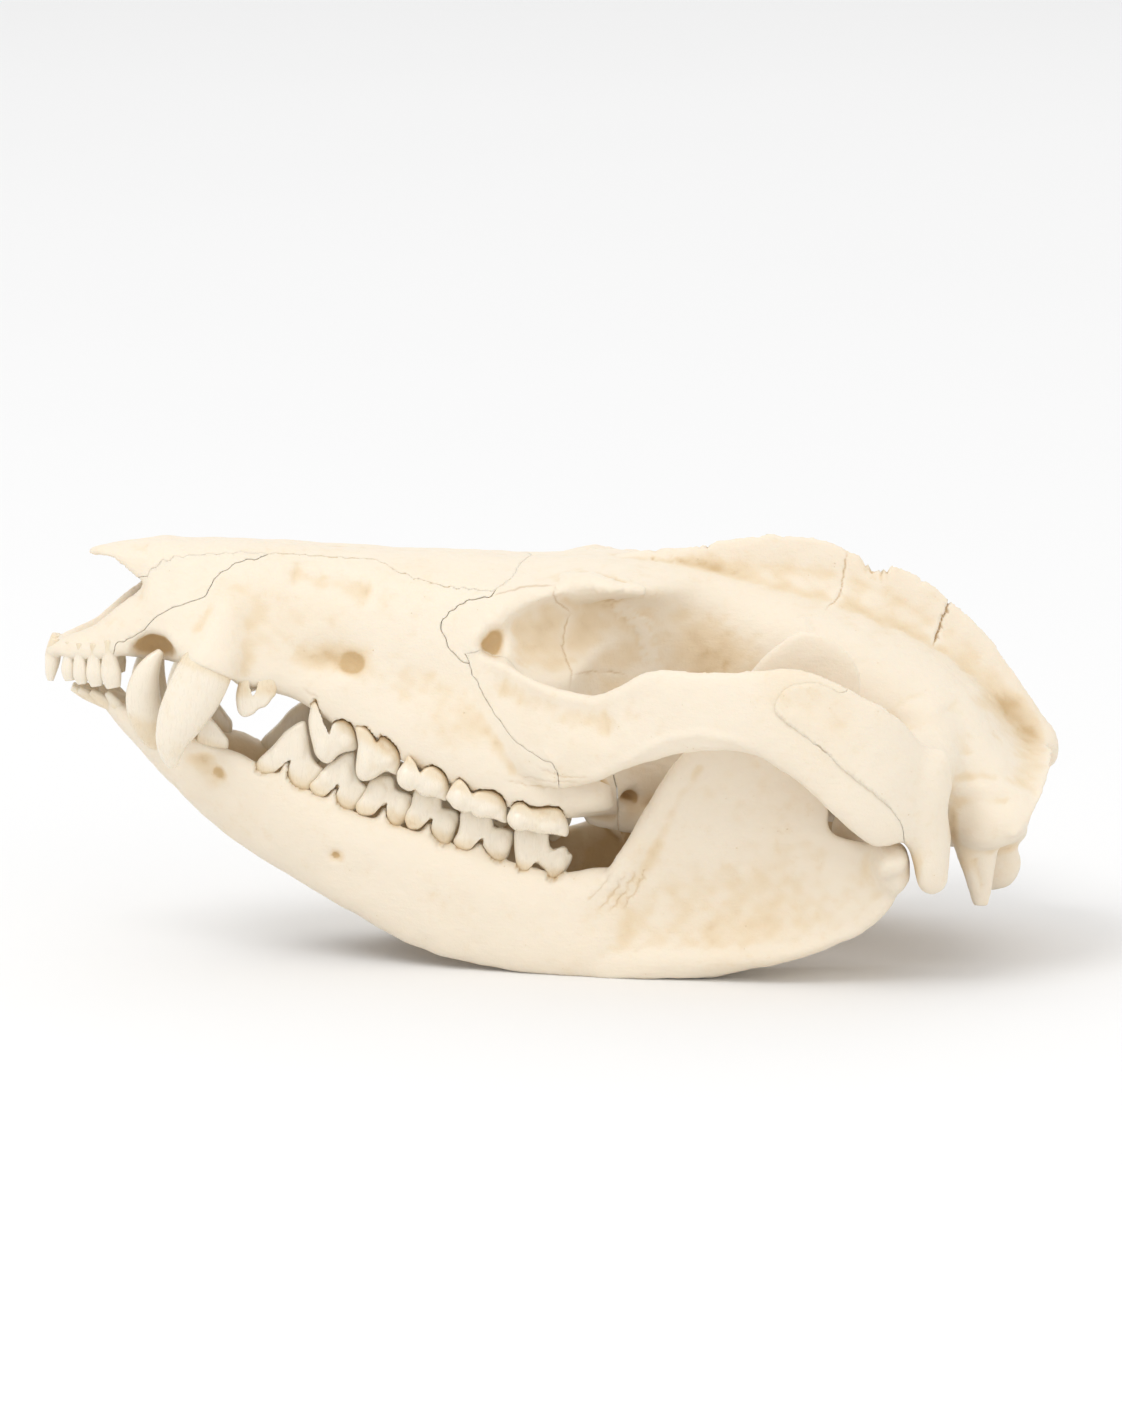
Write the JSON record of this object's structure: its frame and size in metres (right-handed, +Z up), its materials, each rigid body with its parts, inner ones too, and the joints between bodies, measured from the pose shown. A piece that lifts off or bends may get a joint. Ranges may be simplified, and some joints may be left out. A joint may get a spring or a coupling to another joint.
{
  "type": "opossum skull",
  "caption": "Life-size opossum skull with its lower jaw in place and mouth closed, lying on its jaws as a still display model of bleached bone.",
  "frame": {"origin": "bottom centre of the bounding box, on the floor under the jaws", "axes": "+X towards the nape, the snout points to -X; +Y towards the animal's right; +Z up"},
  "size_m": [0.1268, 0.0664, 0.0527],
  "materials": {
    "bone": "matte bleached bone",
    "toothed_bone": "matte bleached bone with smoother teeth"
  },
  "bodies": {
    "root": {"braincase": "bone", "nasal_bones": "bone", "jugal_left": "bone", "jugal_right": "bone", "maxillae": "toothed_bone", "premaxillae": "toothed_bone", "mandible_left": "toothed_bone", "mandible_right": "toothed_bone"}
  },
  "joints": []
}
